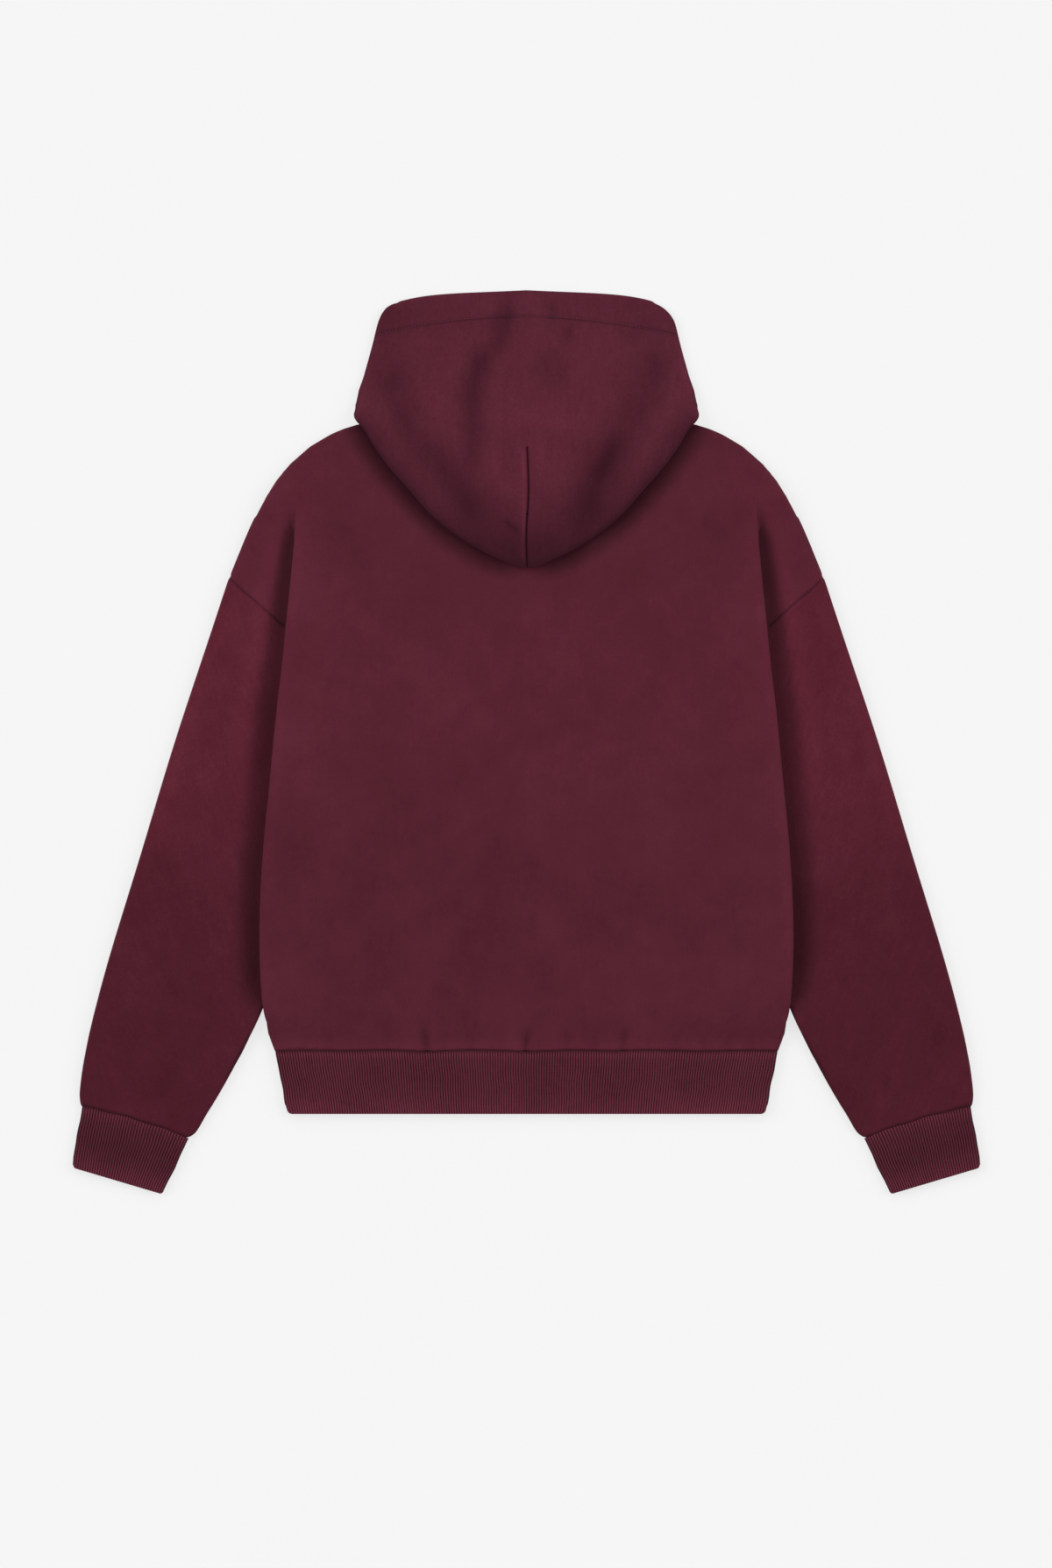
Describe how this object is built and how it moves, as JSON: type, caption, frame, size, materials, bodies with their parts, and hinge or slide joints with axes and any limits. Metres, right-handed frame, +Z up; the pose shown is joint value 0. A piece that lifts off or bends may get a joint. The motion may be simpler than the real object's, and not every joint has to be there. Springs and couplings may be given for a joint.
{
  "type": "zip up hoodie",
  "caption": "Zip-up hoodie laid face down: boxy dropped-shoulder body with side folds, full sleeves, rib cuffs and hem band, drooping hood, closed front zip.",
  "frame": {"origin": "middle of the garment's bounding box, on the surface that it lies on", "axes": "+Z up, away from the surface and out of the back panel; +Y from the hem to the hood; +X towards the wearer's right sleeve"},
  "size_m": [0.928, 0.9251, 0.0239],
  "materials": {
    "fleece_body": "matte brushed fleece, wine red",
    "fleece_sleeve": "matte brushed fleece, wine red",
    "fleece_hood": "matte brushed fleece, wine red",
    "rib": "matte rib knit, wine red",
    "zip_tape": "woven tape, wine red",
    "zip_metal": "satin metal"
  },
  "bodies": {
    "garment": {"back_panel": "fleece_body", "front_left": "fleece_body", "front_right": "fleece_body", "sleeve_left": "fleece_sleeve", "sleeve_right": "fleece_sleeve", "cuff_left": "rib", "cuff_right": "rib", "hem_rib": "rib", "hood": "fleece_hood", "zip_tape_left": "zip_tape", "zip_tape_right": "zip_tape", "zip_slider": "zip_metal", "zip_box": "zip_metal"},
    "pull": {"pull_tab": "zip_metal"}
  },
  "joints": [
    {"name": "pull_tab_hinge", "type": "hinge", "parent": "garment", "child": "pull", "pos_m": [0, 0.228, 0.0017], "axis": [1, 0, 0], "range_deg": [0, 170]}
  ]
}
